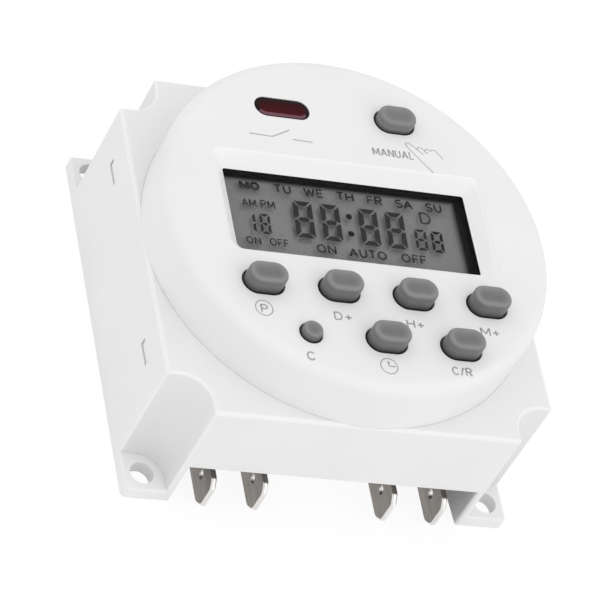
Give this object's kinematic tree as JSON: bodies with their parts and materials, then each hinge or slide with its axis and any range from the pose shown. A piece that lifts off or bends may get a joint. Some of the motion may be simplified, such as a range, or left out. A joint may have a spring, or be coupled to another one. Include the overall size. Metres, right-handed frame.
{
  "type": "programmable timer",
  "caption": "White surface-mount programmable timer: square snap-together case, round control face with display, spring-back keys, red indicator, screw ears and blade terminals.",
  "frame": {"origin": "centre of the square back face", "axes": "+Z out of the control face, +Y to the top of the face, +X to its right"},
  "size_m": [0.06, 0.0614, 0.0331],
  "materials": {
    "white_case": "satin moulded white",
    "grey_key": "matt mid grey silicone",
    "black_frame": "matt black",
    "clear_lens": "clear polished",
    "lcd_glass": "grey reflective display glass",
    "red_lens": "dark red, polished",
    "terminal_tin": "tin-plated, stamped",
    "screw_steel": "zinc-plated",
    "board_green": "green solder resist",
    "dark_part": "black moulded",
    "rubber_mat": "matt grey silicone",
    "blue_part": "blue dipped coating",
    "yellow_film": "yellow moulded box",
    "cell_steel": "nickel-plated",
    "ribbon_grey": "grey insulation"
  },
  "bodies": {
    "case": {"front_housing": "white_case", "back_cover": "white_case", "lcd_frame": "black_frame", "window_lens": "clear_lens", "lcd_panel": "lcd_glass", "indicator_lens": "red_lens", "status_lamp": "red_lens", "terminal_1": "terminal_tin", "terminal_2": "terminal_tin", "terminal_3": "terminal_tin", "terminal_4": "terminal_tin", "power_screw_1": "screw_steel", "power_screw_2": "screw_steel", "power_screw_3": "screw_steel", "power_screw_4": "screw_steel", "display_screw_1": "screw_steel", "display_screw_2": "screw_steel", "display_screw_3": "screw_steel", "power_board": "board_green", "display_board": "board_green", "relay": "dark_part", "rectifier": "dark_part", "smoothing_capacitor": "dark_part", "contact_strip_1": "dark_part", "contact_strip_2": "dark_part", "controller_chip": "dark_part", "keypad_mat": "rubber_mat", "manual_mat": "rubber_mat", "varistor": "blue_part", "film_capacitor": "yellow_film", "backup_cell": "cell_steel", "cell_tab_plus": "cell_steel", "cell_tab_minus": "cell_steel", "crystal": "cell_steel", "ribbon_link": "ribbon_grey"},
    "program_key": {"key_program": "grey_key"},
    "day_key": {"key_day": "grey_key"},
    "hour_key": {"key_hour": "grey_key"},
    "minute_key": {"key_minute": "grey_key"},
    "clock_key": {"key_clock": "grey_key"},
    "cancel_key": {"key_cancel": "grey_key"},
    "manual_key": {"key_manual": "grey_key"},
    "reset_key": {"key_reset": "grey_key"}
  },
  "joints": [
    {"name": "program_press", "type": "slide", "parent": "case", "child": "program_key", "axis": [0, 0, -1], "range_m": [0, 0.001], "stiffness_N_per_m": 300},
    {"name": "day_press", "type": "slide", "parent": "case", "child": "day_key", "axis": [0, 0, -1], "range_m": [0, 0.001], "stiffness_N_per_m": 300},
    {"name": "hour_press", "type": "slide", "parent": "case", "child": "hour_key", "axis": [0, 0, -1], "range_m": [0, 0.001], "stiffness_N_per_m": 300},
    {"name": "minute_press", "type": "slide", "parent": "case", "child": "minute_key", "axis": [0, 0, -1], "range_m": [0, 0.001], "stiffness_N_per_m": 300},
    {"name": "clock_press", "type": "slide", "parent": "case", "child": "clock_key", "axis": [0, 0, -1], "range_m": [0, 0.001], "stiffness_N_per_m": 300},
    {"name": "cancel_press", "type": "slide", "parent": "case", "child": "cancel_key", "axis": [0, 0, -1], "range_m": [0, 0.001], "stiffness_N_per_m": 300},
    {"name": "manual_press", "type": "slide", "parent": "case", "child": "manual_key", "axis": [0, 0, -1], "range_m": [0, 0.001], "stiffness_N_per_m": 300},
    {"name": "reset_press", "type": "slide", "parent": "case", "child": "reset_key", "axis": [0, 0, -1], "range_m": [0, 0.0006], "stiffness_N_per_m": 300}
  ]
}
